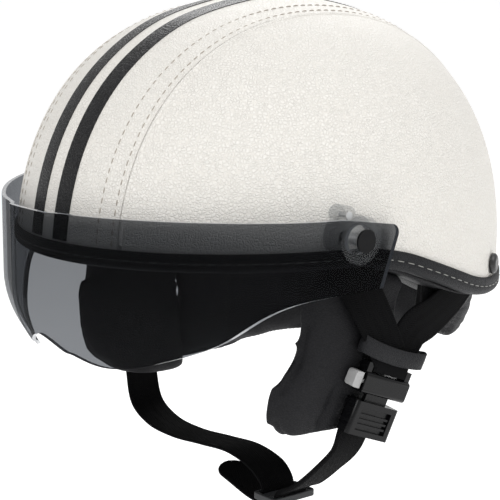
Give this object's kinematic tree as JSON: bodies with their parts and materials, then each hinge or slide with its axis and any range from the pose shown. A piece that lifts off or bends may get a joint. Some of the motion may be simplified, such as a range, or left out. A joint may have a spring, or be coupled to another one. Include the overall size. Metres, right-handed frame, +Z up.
{
  "type": "open face motorcycle helmet",
  "caption": "Open face motorcycle helmet with leather-covered shell, flip-up smoked visor, soft ear pads and a push-button buckle chin strap.",
  "frame": {"origin": "centre of the head opening, where the dome meets its upright skirt", "axes": "+Z up through the crown, -Y to the front, +X to the wearer's left"},
  "size_m": [0.224, 0.2605, 0.2361],
  "materials": {
    "abs_shell": "moulded ABS, satin black",
    "white_leather": "ivory white pebble-grain leather",
    "gloss_stripe": "gloss black printed film over the grain",
    "black_leather": "soft black leatherette",
    "foam": "black expanded polystyrene bead foam",
    "lining": "black brushed mesh lining",
    "smoked_lens": "smoke grey polycarbonate, polished",
    "clear_plastic": "clear polycarbonate, polished",
    "black_plastic": "satin black acetal",
    "grey_plastic": "satin grey acetal",
    "black_metal": "black lacquered steel",
    "steel": "zinc-plated steel",
    "webbing": "black polyester webbing"
  },
  "bodies": {
    "helmet": {"outer_shell": "abs_shell", "leather_centre": "white_leather", "leather_left": "white_leather", "leather_right": "white_leather", "racing_stripe_left": "gloss_stripe", "racing_stripe_right": "gloss_stripe", "edge_trim": "black_leather", "brow_band": "black_leather", "ear_strap_loop_left": "black_leather", "ear_strap_loop_right": "black_leather", "ear_pad_left": "black_leather", "ear_pad_right": "black_leather", "nape_curtain": "black_leather", "foam_liner": "foam", "comfort_liner": "lining", "pivot_base_left": "clear_plastic", "pivot_base_right": "clear_plastic", "pivot_ring_left": "clear_plastic", "pivot_ring_right": "clear_plastic", "pivot_cap_left": "black_plastic", "pivot_cap_right": "black_plastic", "buckle_housing": "black_plastic", "strap_spacers": "black_plastic", "rear_rivets": "black_metal", "lug_screws": "steel", "pivot_bolts": "steel", "pivot_nuts": "steel", "rivet_washers": "steel", "button_spring": "steel", "front_strap_left": "webbing", "front_strap_right": "webbing", "rear_strap_left": "webbing", "rear_strap_right": "webbing", "buckle_strap": "webbing", "chin_strap_right": "webbing"},
    "visor": {"visor": "smoked_lens"},
    "release_button": {"release_button": "grey_plastic", "lock_bar": "steel"},
    "buckle_tongue": {"buckle_tongue": "black_plastic", "chin_strap_left": "webbing", "strap_slider": "black_plastic", "strap_tail": "webbing"}
  },
  "joints": [
    {"name": "visor_hinge", "type": "hinge", "parent": "helmet", "child": "visor", "pos_m": [0, -0.034, 0.0217], "axis": [-1, 0, 0], "range_deg": [0, 60]},
    {"name": "button_press", "type": "slide", "parent": "helmet", "child": "release_button", "axis": [0, 0.933, -0.36], "range_m": [0, 0.0025], "stiffness_N_per_m": 1500, "springref_m": -0.001, "deforming": ["button_spring"]},
    {"name": "plug_slide", "type": "slide", "parent": "helmet", "child": "buckle_tongue", "axis": [-0.12, -0.3571, -0.9263], "range_m": [0, 0.018], "deforming": ["chin_strap_right"]}
  ]
}
